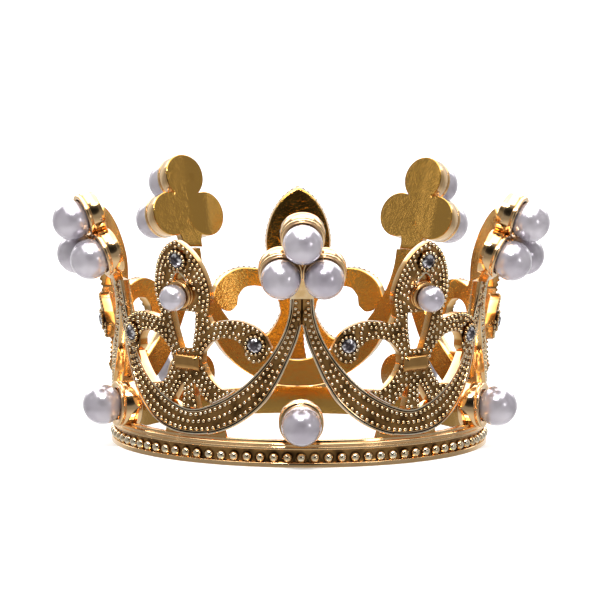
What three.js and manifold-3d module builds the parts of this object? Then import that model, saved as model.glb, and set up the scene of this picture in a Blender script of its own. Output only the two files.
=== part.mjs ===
// A small cast crown: five soldered panels, five fleurs-de-lis, imitation pearls and clear stones.
// Units are millimetres and +Z is up. The ring's axis is the Z axis, and the rim rests on z = 0.
// Angles are in degrees round the ring from the front (-Y), growing towards +X.
// A flat pattern is drawn in (u, z), where u runs round the ring at ringRadius and z is the height,
// and is then wrapped round the axis at the radius that its surface function gives for that height.

import * as THREE from "three";
import { mergeVertices } from "three/addons/utils/BufferGeometryUtils.js";
import Module from "manifold-3d";

const wasm = await Module();
wasm.setup();

// Driving dimensions
const panelCount = 5;
const panelAngle = 360 / panelCount;
const ringRadius = 28;
const seamGap = 0.12;
const plateThickness = 1.5;

// The front panel is the narrow one, so the two seams beside it are nearer to the front.
const frontSeam = 29.6;
const seamAngles = [frontSeam, 1.5 * panelAngle, 2.5 * panelAngle, 3.5 * panelAngle, 360 - frontSeam];

const band = {
  height: 4,
  thickness: 1.7,
  channelDepth: 0.55,
  lowerRim: 0.65,
  channelTop: 2.7,
  upperRim: 3.65,
  upperRimThickness: 0.7,
  degreesPerStep: 6,
};
const saddle = { reach: 12, outerRadius: 27.1, thickness: 0.7, foot: 3.8 };

// Facets: the sides that each round form is drawn with
const sides = { cup: 14, seat: 10, peg: 6, pearl: 10, setting: 8, stone: 8 };
const pearlRows = 6;

const largePearl = { radius: 3, holeRadius: 0.45, pegRadius: 0.35 };
const smallPearl = { radius: 2, holeRadius: 0.35, pegRadius: 0.25 };
const stone = { radius: 1.1, table: 0.62, crown: 0.42, pavilion: 0.7, height: 0.2 };
const setting = { radius: 1.5, rise: 0.35, depth: 1, seatRadius: 1.22, seatDepth: 1 };

const baseCup = { radius: 3.35, back: 25.7, lip: 28.9, height: 6.65, pearlRadius: 30.9 };
const finial = {
  topPearl: { radius: 35.8, z: 34.5 },
  lowPearl: { radius: 34, z: 29.05 },
  lateral: 3.2,
  cupRadius: 3.25,
  lip: -1.65,
  back: -4.15,
  neckBottom: 25.65,
  neckTop: 29.6,
  neckHalfWidth: 1.75,
  neckSink: 0.25,
};
// One back finial was soldered on a little off its arch: it slides, rises and leans.
const crookedFinial = { number: 4, slide: -1, rise: 0.15, lean: 5 };
const fleur = {
  thickness: 1.6,
  pearlHeight: 25.5,
  pearlStand: 1.95,
  cupRadius: 2.15,
  tipStoneHeight: 30.7,
  sideStoneU: 10.9,
  sideStoneHeight: 18.4,
  collar: { halfWidth: 2.2, bottom: 13.9, top: 16.3, proud: 0.6 },
};

// Surfaces: the radius of the outer face at each height
function archSurface(z) {
  return ringRadius + 0.00266 * Math.max(0, z - 14) ** 2.4;
}

function fleurSurface(z) {
  const rise = z - 9;
  return 28.3 + 0.095 * rise + 0.0028 * rise * rise;
}

const finialTilt = Math.atan2(
  finial.topPearl.radius - finial.lowPearl.radius,
  finial.topPearl.z - finial.lowPearl.z,
);

// The neck carries on the plane of the finial's back and sinks a little below it towards the arch.
function neckSurface(z) {
  const backPlane = finial.lowPearl.radius + finial.back / Math.cos(finialTilt)
    + (z - finial.lowPearl.z) * Math.tan(finialTilt);
  const blend = THREE.MathUtils.smoothstep(z, finial.neckBottom, finial.neckTop - 1);
  return backPlane - finial.neckSink * (1 - blend) + plateThickness;
}

// Materials
const gold = new THREE.MeshStandardMaterial({ color: 0xb98a35, roughness: 0.28, metalness: 1 });
const pearlCoat = new THREE.MeshStandardMaterial({ color: 0xe9e4ea, roughness: 0.22, metalness: 0.05 });
const crystal = new THREE.MeshStandardMaterial({ color: 0xdfe4ea, roughness: 0.05, metalness: 0.1 });

// Outline helpers
function smooth(points, samplesPerSpan = 1) {
  const curve = new THREE.SplineCurve(points.map(([u, z]) => new THREE.Vector2(u, z)));
  return curve.getPoints(samplesPerSpan * (points.length - 1));
}

function mirrored(points) {
  return points.map((p) => new THREE.Vector2(-p.x, p.y)).reverse();
}

function trimmed(points, end) {
  const kept = points.filter((p) => p.x < end);
  const next = points[kept.length];
  const last = kept[kept.length - 1];
  return [...kept, last.clone().lerp(next, (end - last.x) / (next.x - last.x))];
}

// Solid helpers
function solidOf(geometry) {
  geometry.deleteAttribute("normal");
  geometry.deleteAttribute("uv");
  const merged = mergeVertices(geometry, 1e-4);
  return new wasm.Manifold(new wasm.Mesh({
    numProp: 3,
    vertProperties: merged.attributes.position.array,
    triVerts: new Uint32Array(merged.index.array),
  }));
}

function geometryOf(solid) {
  const mesh = solid.getMesh();
  const geometry = new THREE.BufferGeometry();
  geometry.setAttribute("position", new THREE.BufferAttribute(mesh.vertProperties, mesh.numProp));
  geometry.setIndex(new THREE.BufferAttribute(mesh.triVerts, 1));
  geometry.computeVertexNormals();
  return geometry;
}

function mapVertices(geometry, place) {
  const position = geometry.attributes.position;
  const vertex = new THREE.Vector3();
  for (let i = 0; i < position.count; i += 1) {
    const [radius, angle, height] = place(vertex.fromBufferAttribute(position, i));
    position.setXYZ(i, radius * Math.sin(angle), -radius * Math.cos(angle), height);
  }
  return geometry;
}

// A flat outline of the given thickness, wrapped so that its outer face lies on the surface.
function wrappedPlate(outline, thickness, surface, holes = []) {
  const shape = new THREE.Shape(outline);
  shape.holes = holes.map((points) => new THREE.Path(points));
  const plate = new THREE.ExtrudeGeometry(shape, { depth: thickness, bevelEnabled: false });
  return mapVertices(plate, ({ x, y, z }) => [surface(y) - thickness + z, x / ringRadius, y]);
}

// The frame of a point on a surface: X runs round the ring and Z points out of the face.
function frameOn(surface, u, z) {
  const step = 0.01;
  const slope = (surface(z + step) - surface(z - step)) / (2 * step);
  const angle = u / ringRadius;
  const outward = new THREE.Vector3(Math.sin(angle), -Math.cos(angle), -slope).normalize();
  const around = new THREE.Vector3(Math.cos(angle), Math.sin(angle), 0);
  const radius = surface(z);
  return new THREE.Matrix4()
    .makeBasis(around, outward.clone().cross(around), outward)
    .setPosition(radius * Math.sin(angle), -radius * Math.cos(angle), z);
}

// A round solid on the frame's Z axis between two heights.
function drum(radius, low, high, segments, frame) {
  const geometry = new THREE.CylinderGeometry(radius, radius, high - low, segments);
  geometry.rotateX(Math.PI / 2);
  geometry.translate(0, 0, (low + high) / 2);
  return solidOf(geometry.applyMatrix4(frame));
}

// The cup, seat and peg of a pearl whose centre is stand above the frame's origin.
function pearlCup(solid, pearl, stand, frame) {
  const clearance = 0.15;
  const seatBottom = stand - pearl.radius - clearance;
  const seatRadius = Math.sqrt(pearl.radius ** 2 - stand ** 2) + 2 * clearance;
  const pegTop = seatBottom + 1.4;
  return solid
    .subtract(drum(seatRadius, seatBottom, 1, sides.seat, frame))
    .add(drum(pearl.pegRadius, seatBottom - 0.2, pegTop, sides.peg, frame));
}

// Parts of one panel
const bottomU = (panelAngle / 2) * THREE.MathUtils.DEG2RAD * ringRadius;
const lowerEdge = smooth([
  [0, 21.5], [0.7, 18.9], [1.9, 16], [3.6, 12.5], [5.9, 9.2], [9.6, 6.2], [13.6, 4.55],
  [bottomU, 4.15], [2 * bottomU - 13.6, 4.55],
], 2);
const upperEdge = smooth([
  [1.75, 25.5], [1.95, 23], [2.8, 20.1], [4.3, 17.3], [6.2, 14.7], [8.6, 12.2], [11.6, 10.1],
  [14.9, 8.6], [bottomU, 8.05], [2 * bottomU - 14.9, 8.6], [2 * bottomU - 11.6, 10.1],
], 2);

function arcLength(degrees) {
  return degrees * THREE.MathUtils.DEG2RAD * ringRadius;
}

function archPanel(leftEnd, rightEnd) {
  const outline = [
    ...mirrored(trimmed(lowerEdge, leftEnd)),
    ...trimmed(lowerEdge, rightEnd).slice(1),
    ...trimmed(upperEdge, rightEnd).reverse(),
    ...trimmed(upperEdge, leftEnd).map((p) => new THREE.Vector2(-p.x, p.y)),
  ];
  return wrappedPlate(outline, plateThickness, archSurface);
}

function bandSection() {
  const { thickness, channelDepth, lowerRim, channelTop, upperRim, upperRimThickness, height } = band;
  const slope = 0.15;
  return new THREE.Shape([
    [-thickness, 0], [0, 0], [0, lowerRim], [-channelDepth, lowerRim + slope],
    [-channelDepth, channelTop - slope], [0, channelTop], [0, upperRim - slope],
    [-slope, upperRim], [-upperRimThickness, upperRim], [-upperRimThickness, height],
    [-thickness, height],
  ].map(([x, y]) => new THREE.Vector2(x, y)));
}

// The low wall that joins the band to the bottom of an arch, on one side of a seam.
function saddleWall(end, side) {
  const start = bottomU - arcLength(saddle.reach);
  const roof = trimmed(lowerEdge, end)
    .filter((p) => p.x > start)
    .map((p) => new THREE.Vector2(p.x, p.y - seamGap));
  const outline = [new THREE.Vector2(start, saddle.foot), new THREE.Vector2(end, saddle.foot), ...roof.reverse()];
  const wall = side > 0 ? outline : mirrored(outline);
  return solidOf(wrappedPlate(wall, saddle.thickness, () => saddle.outerRadius));
}

function bandSegment(leftEnd, rightEnd) {
  const length = leftEnd + rightEnd;
  const steps = Math.round(length / arcLength(band.degreesPerStep));
  const bar = new THREE.ExtrudeGeometry(bandSection(), { depth: length, steps, bevelEnabled: false });
  mapVertices(bar, ({ x, y, z }) => [ringRadius + x, (rightEnd - z) / ringRadius, y]);
  const cupFrame = frameOn(() => baseCup.lip, 0, baseCup.height);
  const body = solidOf(bar)
    .add(saddleWall(leftEnd - seamGap, -1))
    .add(saddleWall(rightEnd - seamGap, 1))
    .add(drum(baseCup.radius, baseCup.back - baseCup.lip, 0, sides.cup, cupFrame));
  return geometryOf(pearlCup(body, largePearl, baseCup.pearlRadius - baseCup.lip, cupFrame));
}

function finialFrame() {
  const { radius, z } = finial.lowPearl;
  return new THREE.Matrix4()
    .makeRotationX(Math.PI / 2 + finialTilt)
    .setPosition(0, -radius, z);
}

const finialPearls = {
  top: new THREE.Vector3(0, Math.hypot(
    finial.topPearl.radius - finial.lowPearl.radius,
    finial.topPearl.z - finial.lowPearl.z,
  ), 0),
  left: new THREE.Vector3(-finial.lateral, 0, 0),
  right: new THREE.Vector3(finial.lateral, 0, 0),
};

function trefoilFinial() {
  const { neckBottom, neckTop, neckHalfWidth } = finial;
  const half = smooth([
    [neckHalfWidth, neckBottom], [neckHalfWidth + 0.1, neckBottom + 1.2], [neckHalfWidth + 0.9, neckTop - 1.2],
    [neckHalfWidth + 1.6, neckTop],
  ]);
  let body = solidOf(wrappedPlate([...mirrored(half), ...half], plateThickness, neckSurface));
  const frame = finialFrame();
  const places = Object.values(finialPearls);
  const middle = places[0].clone().add(places[1]).add(places[2]).divideScalar(3);
  const web = drum(finial.lateral * 0.6, finial.back + 0.1, finial.lip - 0.4, 6, shifted(frame, middle));
  body = body.add(web);
  for (const place of places) {
    const cup = drum(finial.cupRadius, finial.back, finial.lip, sides.cup, shifted(frame, place));
    body = body.add(cup);
  }
  for (const place of places) {
    const lipFrame = shifted(frame, place.clone().setZ(finial.lip));
    body = pearlCup(body, largePearl, -finial.lip, lipFrame);
  }
  return geometryOf(body);
}

// Where a finial stands in its panel, turned about the foot of its neck.
function finialStand(number) {
  const stand = new THREE.Group();
  if (number !== crookedFinial.number) return stand;
  const { slide, rise, lean } = crookedFinial;
  const foot = new THREE.Vector3(0, -archSurface(finial.neckBottom), finial.neckBottom);
  const turn = -lean * THREE.MathUtils.DEG2RAD;
  stand.rotation.y = turn;
  stand.position.copy(foot).sub(foot.clone().applyAxisAngle(new THREE.Vector3(0, 1, 0), turn));
  stand.position.add(new THREE.Vector3(slide, 0, rise));
  return stand;
}

function shifted(frame, offset) {
  return frame.clone().multiply(new THREE.Matrix4().makeTranslation(offset));
}

// The right half of a fleur-de-lis, from the middle foot round to the petal's tip.
function fleurHalf() {
  const footSide = smooth([[1.4, 8.35], [1.05, 10], [0.9, 12.1]]);
  const footSole = smooth([[3.3, 9.1], [5.4, 10.1], [7.4, 11.4]]);
  const footTop = smooth([[6.9, 11.3], [5.5, 11.4], [4.2, 12.4], [3.2, 13.8], [2.6, 15.2]]);
  const curlInside = smooth([[2.9, 16.9], [4.4, 18.5], [6.2, 19.2], [8.1, 19], [9.2, 17.8]]);
  const curlEnd = smooth([[9.4, 16.5], [10.6, 15.6], [12.1, 16.1], [13.35, 17.95]]);
  const curlTop = smooth([[13, 18.7], [12.2, 20.1], [10.8, 21.2], [8.6, 21.95], [6.2, 21.8], [4.4, 21.4]]);
  const petal = smooth([[4, 22.4], [4.5, 24.3], [4.6, 26], [4.25, 28], [3.5, 30.1], [2.3, 32], [1.1, 33.15]]);
  return [footSide, footSole, footTop, curlInside, curlEnd, curlTop, petal].flat();
}

function fleurDeLis() {
  const half = fleurHalf();
  const outline = [...half, new THREE.Vector2(0, 33.75), ...mirrored(half)];
  const side = smooth([[1, 17.1], [1.45, 18.8], [1.85, 20.8], [2.1, 22.9]]);
  const plate = wrappedPlate(outline, fleur.thickness, fleurSurface, [[...side, ...mirrored(side)]]);
  const { halfWidth, bottom, top, proud } = fleur.collar;
  const ring = [[-halfWidth, bottom], [0, bottom], [halfWidth, bottom], [halfWidth, top], [0, top], [-halfWidth, top]]
    .map(([u, z]) => new THREE.Vector2(u, z));
  const cupFrame = frameOn(fleurSurface, 0, fleur.pearlHeight);
  let body = solidOf(plate)
    .add(solidOf(wrappedPlate(ring, fleur.thickness + proud - 0.3, (z) => fleurSurface(z) + proud)))
    .add(drum(fleur.cupRadius, -1.2, 0.6, sides.seat, cupFrame));
  const cupLip = shifted(cupFrame, new THREE.Vector3(0, 0, 0.6));
  body = pearlCup(body, smallPearl, fleur.pearlStand - 0.6, cupLip);
  for (const frame of Object.values(stoneFrames)) {
    const bottom = setting.rise - setting.depth - 0.3;
    body = body.add(drum(setting.radius, bottom, setting.rise, sides.setting, frame));
  }
  for (const frame of Object.values(stoneFrames)) {
    const seatBottom = setting.rise - setting.seatDepth;
    body = body.subtract(drum(setting.seatRadius, seatBottom, 2, sides.setting, frame));
  }
  return geometryOf(body);
}

const stoneFrames = {
  tip: frameOn(fleurSurface, 0, fleur.tipStoneHeight),
  left: frameOn(fleurSurface, -fleur.sideStoneU, fleur.sideStoneHeight),
  right: frameOn(fleurSurface, fleur.sideStoneU, fleur.sideStoneHeight),
};

// A pearl on the Z axis with its centre at the origin and a blind hole for the peg from below.
function pearlGeometry({ radius, holeRadius }) {
  const holeTop = -radius + 1.6;
  const rim = Math.asin(holeRadius / radius);
  const profile = [new THREE.Vector2(0, holeTop), new THREE.Vector2(holeRadius, holeTop)];
  for (let row = 0; row < pearlRows; row += 1) {
    const angle = rim + (row / pearlRows) * (Math.PI - rim);
    profile.push(new THREE.Vector2(radius * Math.sin(angle), -radius * Math.cos(angle)));
  }
  profile.push(new THREE.Vector2(0, radius));
  const ball = new THREE.LatheGeometry(profile, sides.pearl);
  return ball.rotateX(Math.PI / 2);
}

// A stone with a flat table above its girdle and a point below, standing on the Z axis.
function stoneGeometry() {
  const { radius, table, crown, pavilion, height } = stone;
  const gem = new THREE.LatheGeometry([
    new THREE.Vector2(0, height - pavilion),
    new THREE.Vector2(radius, height),
    new THREE.Vector2(table, height + crown),
    new THREE.Vector2(0, height + crown),
  ], sides.stone);
  return gem.rotateX(Math.PI / 2);
}

// Assembly
const crown = new THREE.Group();

function place(group, name, geometry, material, frame = new THREE.Matrix4()) {
  const mesh = new THREE.Mesh(geometry, material.clone());
  mesh.name = name;
  mesh.applyMatrix4(frame);
  group.add(mesh);
}

const largePearlGeometry = pearlGeometry(largePearl);
const smallPearlGeometry = pearlGeometry(smallPearl);
const gemGeometry = stoneGeometry();
const finialGeometry = trefoilFinial();
const fleurGeometry = fleurDeLis();

for (let k = 0; k < panelCount; k += 1) {
  const number = k + 1;
  const angle = k * panelAngle;
  const seamBefore = k === 0 ? -frontSeam : seamAngles[k - 1];
  const leftEnd = arcLength(angle - seamBefore) - seamGap / 2;
  const rightEnd = arcLength(seamAngles[k] - angle) - seamGap / 2;

  const panel = new THREE.Group();
  panel.rotation.z = angle * THREE.MathUtils.DEG2RAD;
  place(panel, `base_band_segment_${number}`, bandSegment(leftEnd, rightEnd), gold);
  place(panel, `arch_panel_${number}`, archPanel(leftEnd, rightEnd), gold);
  const stand = finialStand(number);
  panel.add(stand);
  place(stand, `trefoil_finial_${number}`, finialGeometry, gold);
  const basePearl = frameOn(() => baseCup.pearlRadius, 0, baseCup.height);
  place(panel, `base_pearl_${number}`, largePearlGeometry, pearlCoat, basePearl);
  for (const [side, offset] of Object.entries(finialPearls)) {
    const frame = shifted(finialFrame(), offset);
    place(stand, `finial_${side}_pearl_${number}`, largePearlGeometry, pearlCoat, frame);
  }
  crown.add(panel);

  const lily = new THREE.Group();
  lily.rotation.z = (angle + panelAngle / 2) * THREE.MathUtils.DEG2RAD;
  place(lily, `fleur_de_lis_${number}`, fleurGeometry, gold);
  const pearlFrame = shifted(
    frameOn(fleurSurface, 0, fleur.pearlHeight),
    new THREE.Vector3(0, 0, fleur.pearlStand),
  );
  place(lily, `fleur_pearl_${number}`, smallPearlGeometry, pearlCoat, pearlFrame);
  for (const [side, frame] of Object.entries(stoneFrames)) {
    place(lily, `fleur_${side}_stone_${number}`, gemGeometry, crystal, frame);
  }
  crown.add(lily);
}

export default crown;
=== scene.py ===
import math

import bpy
import numpy as np
from mathutils import Matrix, Vector
from mathutils.geometry import delaunay_2d_cdt


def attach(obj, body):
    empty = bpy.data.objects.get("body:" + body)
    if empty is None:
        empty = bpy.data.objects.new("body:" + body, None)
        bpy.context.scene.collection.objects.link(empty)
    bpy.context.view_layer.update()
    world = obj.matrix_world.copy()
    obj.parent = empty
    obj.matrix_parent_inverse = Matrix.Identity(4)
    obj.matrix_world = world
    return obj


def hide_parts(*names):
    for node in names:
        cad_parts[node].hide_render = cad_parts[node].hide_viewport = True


# A small cast crown. Sizes are in millimetres until a mesh is made. A flat pattern is drawn in (u, z):
# u runs round the ring at RING_RADIUS, z is the height, and h is the relief above the plate's face.

MM = 0.001
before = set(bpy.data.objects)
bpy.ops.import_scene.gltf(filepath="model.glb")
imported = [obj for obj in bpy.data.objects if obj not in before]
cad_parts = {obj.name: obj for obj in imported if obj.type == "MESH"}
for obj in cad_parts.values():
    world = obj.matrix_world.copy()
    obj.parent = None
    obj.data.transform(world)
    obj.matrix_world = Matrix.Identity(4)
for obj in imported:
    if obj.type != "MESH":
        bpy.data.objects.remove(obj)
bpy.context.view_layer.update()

# Driving dimensions, as in the frame
PANELS = 5
PANEL_ANGLE = 360 / PANELS
RING_RADIUS = 28.0
SEAM_GAP = 0.004
FRONT_SEAM = 29.6
SEAMS = [FRONT_SEAM, 1.5 * PANEL_ANGLE, 2.5 * PANEL_ANGLE, 3.5 * PANEL_ANGLE, 360 - FRONT_SEAM]
PLATE = 1.5
FLEUR_PLATE = 1.6
BOTTOM_U = math.radians(PANEL_ANGLE / 2) * RING_RADIUS

LARGE_PEARL = {"radius": 3.0, "hole": 0.45, "peg": 0.35}
SMALL_PEARL = {"radius": 2.0, "hole": 0.35, "peg": 0.25}

BASE_PEARL = {"radius": 30.9, "z": 6.65, "stand": 2.0, "cup": 3.35, "back": 3.2}
FINIAL_TOP = np.array([35.8, 34.5])
FINIAL_LOW = np.array([34.0, 29.05])
FINIAL_SIDE = 3.2
FINIAL_BACK = -4.15
FINIAL_TILT = math.atan2(*(FINIAL_TOP - FINIAL_LOW))
FINIAL_RISE = math.hypot(*(FINIAL_TOP - FINIAL_LOW))
NECK = {"bottom": 25.53, "top": 29.6, "half_width": 1.75, "sink": 0.25}
CROOKED = {"number": 4, "slide": -1.0, "rise": 0.15, "lean": 5.0}

FLEUR_PEARL = {"z": 25.5, "stand": 1.95, "cup": 2.15}
COLLAR = {"half_width": 2.2, "bottom": 13.9, "top": 16.3, "proud": 0.6}
STONES = {"tip": (0.0, 30.7), "left": (-10.9, 18.4), "right": (10.9, 18.4)}
STONE_RADIUS = 1.1


# Surfaces: the radius of the outer face at each height
def arch_surface(z):
    return RING_RADIUS + 0.00266 * np.maximum(0, z - 14) ** 2.4


def fleur_surface(z):
    rise = z - 9
    return 28.3 + 0.095 * rise + 0.0028 * rise * rise


def neck_surface(z):
    """It carries on the plane of the finial's back and sinks a little below it towards the arch."""
    back_plane = FINIAL_LOW[0] + FINIAL_BACK / math.cos(FINIAL_TILT)
    back_plane = back_plane + (z - FINIAL_LOW[1]) * math.tan(FINIAL_TILT)
    t = np.clip((z - NECK["bottom"]) / (NECK["top"] - 1 - NECK["bottom"]), 0, 1)
    blend = t * t * (3 - 2 * t)
    return back_plane - NECK["sink"] * (1 - blend) + PLATE


# Outline helpers
def smooth(points, samples=8):
    """A Catmull-Rom curve through the points."""
    p = np.array(points, float)
    p = np.vstack([p[:1], p, p[-1:]])
    t = np.linspace(0, 1, samples, endpoint=False)[:, None]
    spans = []
    for a, b, c, d in zip(p, p[1:], p[2:], p[3:]):
        start, end = (c - a) / 2, (d - b) / 2
        cubic = 2 * b - 2 * c + start + end
        square = 3 * c - 3 * b - 2 * start - end
        spans.append(cubic * t**3 + square * t**2 + start * t + b)
    return np.vstack([*spans, p[-1:]])


def resampled(line, step):
    """The same line with points about step apart, which keeps its two ends."""
    lengths = np.hypot(*np.diff(line, axis=0).T)
    along = np.concatenate([[0], np.cumsum(lengths)])
    places = np.linspace(0, along[-1], max(2, round(along[-1] / step) + 1))
    return np.column_stack([np.interp(places, along, line[:, axis]) for axis in (0, 1)])


def mirrored(line):
    return (line * [-1, 1])[::-1]


def closed(loop):
    """The loop with its first point again at the end."""
    return np.vstack([loop, loop[:1]])


def arc(centre, radius, start, end, steps):
    angles = np.radians(np.linspace(start, end, steps + 1))
    return np.array(centre) + radius * np.column_stack([np.cos(angles), np.sin(angles)])


def trimmed(line, end):
    """The part of a line with u below end."""
    kept = line[line[:, 0] < end]
    last, following = kept[-1], line[len(kept)]
    share = (end - last[0]) / (following[0] - last[0])
    return np.vstack([kept, last + (following - last) * share])


def joined(*lines):
    """One closed outline from lines that follow each other, without doubled points."""
    points = np.vstack(lines)
    apart = np.hypot(*(points - np.roll(points, 1, axis=0)).T) > 1e-4
    return points[apart]


def symmetric_loop(right, step=0.25):
    """A closed loop of evenly spaced points from its right half."""
    return resampled(closed(joined(right, mirrored(right))), step)[:-1]


def softened(points, reach, steps=3):
    """A closed profile with its corners rounded."""
    soft = []
    count = len(points)
    p = np.array(points, float)
    for i in range(count):
        before, corner, after = p[i - 1], p[i], p[(i + 1) % count]
        leave = corner + (before - corner) * min(0.45, reach / max(1e-6, math.dist(before, corner)))
        meet = corner + (after - corner) * min(0.45, reach / max(1e-6, math.dist(after, corner)))
        for t in np.linspace(0, 1, steps):
            soft.append((1 - t) ** 2 * leave + 2 * t * (1 - t) * corner + t * t * meet)
    return np.array(soft)


# Distances in a flat pattern
def segment_distance(points, starts, ends):
    """The distance from each point to the nearest of the segments."""
    best = np.full(len(points), 1e9)
    run = ends - starts
    squared = np.maximum(1e-12, (run**2).sum(1))
    for first in range(0, len(points), 1500):
        block = points[first:first + 1500, None, :]
        t = np.clip(((block - starts) * run).sum(2) / squared, 0, 1)
        nearest = starts + t[..., None] * run
        best[first:first + 1500] = np.sqrt(((block - nearest) ** 2).sum(2)).min(1)
    return best


def line_distance(points, lines):
    starts = np.vstack([line[:-1] for line in lines])
    ends = np.vstack([line[1:] for line in lines])
    return segment_distance(points, starts, ends)


def inside(points, loops):
    """Whether each point lies inside an odd number of the closed loops."""
    starts = np.vstack(loops)
    ends = np.vstack([np.roll(loop, -1, axis=0) for loop in loops])
    result = np.zeros(len(points), bool)
    for first in range(0, len(points), 1500):
        x = points[first:first + 1500, None, 0]
        y = points[first:first + 1500, None, 1]
        spans = (starts[:, 1] > y) != (ends[:, 1] > y)
        rise = np.where(ends[:, 1] == starts[:, 1], 1, ends[:, 1] - starts[:, 1])
        crossing = starts[:, 0] + (y - starts[:, 1]) / rise * (ends[:, 0] - starts[:, 0])
        result[first:first + 1500] = (spans & (x < crossing)).sum(1) % 2 == 1
    return result


def offset_points(line, distance):
    """Points beside a line, on both sides of it."""
    ahead = np.vstack([line[1:], 2 * line[-1:] - line[-2:-1]]) - line
    behind = line - np.vstack([2 * line[:1] - line[1:2], line[:-1]])
    tangent = ahead / np.hypot(*ahead.T)[:, None] + behind / np.hypot(*behind.T)[:, None]
    tangent /= np.maximum(1e-9, np.hypot(*tangent.T))[:, None]
    normal = tangent[:, ::-1] * [-1, 1]
    return np.vstack([line + normal * distance, line - normal * distance])


def grid_over(points, spacing):
    """A square grid over the box round the points."""
    low, high = points.min(0), points.max(0)
    across = np.arange(low[0], high[0], spacing)
    upwards = np.arange(low[1], high[1], spacing)
    return np.stack(np.meshgrid(across, upwards), -1).reshape(-1, 2)


# Piece building
class Shells:
    """The shells that make one piece, gathered before they become a mesh."""

    def __init__(self):
        self.points, self.faces, self.materials, self.relief_patina_and_painted_light = [], [], [], []
        self.count = 0

    def add(self, points, faces, materials, relief_patina_and_painted_light=1.0):
        """Add a shell. materials is one slot number for all of its faces, or a list with one for each."""
        if isinstance(materials, int):
            materials = [materials] * len(faces)
        self.points.append(np.asarray(points, float))
        self.faces += [[i + self.count for i in face] for face in faces]
        self.materials += materials
        self.relief_patina_and_painted_light.append(np.broadcast_to(relief_patina_and_painted_light, len(points)))
        self.count += len(points)

    def mesh(self, name, slots, matrix, flat):
        mesh = bpy.data.meshes.new(name)
        mesh.from_pydata((np.vstack(self.points) * MM).tolist(), [], self.faces)
        for slot in slots:
            mesh.materials.append(slot)
        mesh.polygons.foreach_set("material_index", self.materials)
        # Each point's level sets its colour. On the gold, low levels are patina and painted shade in
        # recesses, and high levels are a painted highlight on proud parts. On the stones they are painted
        # reflections.
        height = mesh.attributes.new("relief_patina_and_painted_light", "FLOAT", "POINT")
        height.data.foreach_set("value", np.concatenate(self.relief_patina_and_painted_light).astype(np.float32))
        mesh.transform(matrix)
        if not flat:
            mesh.shade_smooth()
            mesh.set_sharp_from_angle(angle=math.radians(CREASE))
        mesh.update()
        return mesh


# The slots of a casting, the widths of its bevels and hollow walls, the angle from which an edge is
# sharp, and how near counts as on a line
FACE, EDGE, BACK = 0, 1, 2
BEVEL = 0.1
HOLLOW_WALL = 0.1
CREASE = 40
NEAR = 0.02


def wrapped(points, surface):
    """Points (u, z, h) placed round the ring's axis."""
    u, z, h = points.T
    radius = surface(z) + h
    angle = u / RING_RADIUS
    return np.column_stack([radius * np.sin(angle), -radius * np.cos(angle), z])


def placed(points, matrix):
    m = np.array(matrix)
    return points @ m[:3, :3].T + m[:3, 3]


def frame_on(surface, u, z):
    """A frame whose X runs round the ring and whose Z points out of the face."""
    slope = (surface(z + 0.01) - surface(z - 0.01)) / 0.02
    angle = u / RING_RADIUS
    outward = Vector((math.sin(angle), -math.cos(angle), -slope)).normalized()
    around = Vector((math.cos(angle), math.sin(angle), 0))
    radius = surface(z)
    axes = Matrix((around, outward.cross(around), outward)).transposed().to_4x4()
    return Matrix.Translation((radius * math.sin(angle), -radius * math.cos(angle), z)) @ axes


def plate_points(loops, lines, spacing, hollow):
    """The flat points of a plate: its outline, rows where the profiles bend, and a grid between them."""
    outline = np.vstack(loops)
    edges = [line for line, _ in lines]
    points = [outline]
    for line, profile in lines:
        for distance, _ in profile[1:]:
            beside = offset_points(line, distance)
            beside = beside[inside(beside, loops)]
            points.append(beside[line_distance(beside, edges) > distance - NEAR])
    for line in edges:
        on_outline = np.isclose(outline, line[len(line) // 2]).all(1).any()
        if not on_outline:
            points.append(line)
    grid = grid_over(outline, spacing)
    grid[:, 0] += (np.round((grid[:, 1] - outline[:, 1].min()) / spacing) % 2) * spacing / 2
    grid = grid[inside(grid, loops)]
    reach = max(profile[-1][0] for _, profile in lines)
    grid = grid[line_distance(grid, edges) > reach + spacing / 2]
    if hollow is not None:
        wall = offset_points(hollow, HOLLOW_WALL)
        points += [hollow, wall[inside(wall, loops)]]
        grid = grid[line_distance(grid, [hollow]) > 2 * HOLLOW_WALL]
    return np.vstack([*points, grid])


def triangulated(points, loops):
    """The points and the anticlockwise triangles that fill the loops."""
    boundary, first = [], 0
    for loop in loops:
        numbers = list(range(first, first + len(loop)))
        boundary += list(zip(numbers, numbers[1:] + numbers[:1]))
        first += len(loop)
    found = delaunay_2d_cdt([Vector(point) for point in points], boundary, [], 0, 1e-5)
    points = np.array([list(point) for point in found[0]])
    triangles = np.array([face for face in found[2] if len(face) == 3])
    triangles = triangles[inside(points[triangles].mean(1), loops)]
    corners = points[triangles]
    sides = corners[:, 1:] - corners[:, :1]
    turned = sides[:, 0, 0] * sides[:, 1, 1] - sides[:, 0, 1] * sides[:, 1, 0] < 0
    triangles[turned] = triangles[turned][:, ::-1]
    return points, triangles.tolist()


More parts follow.
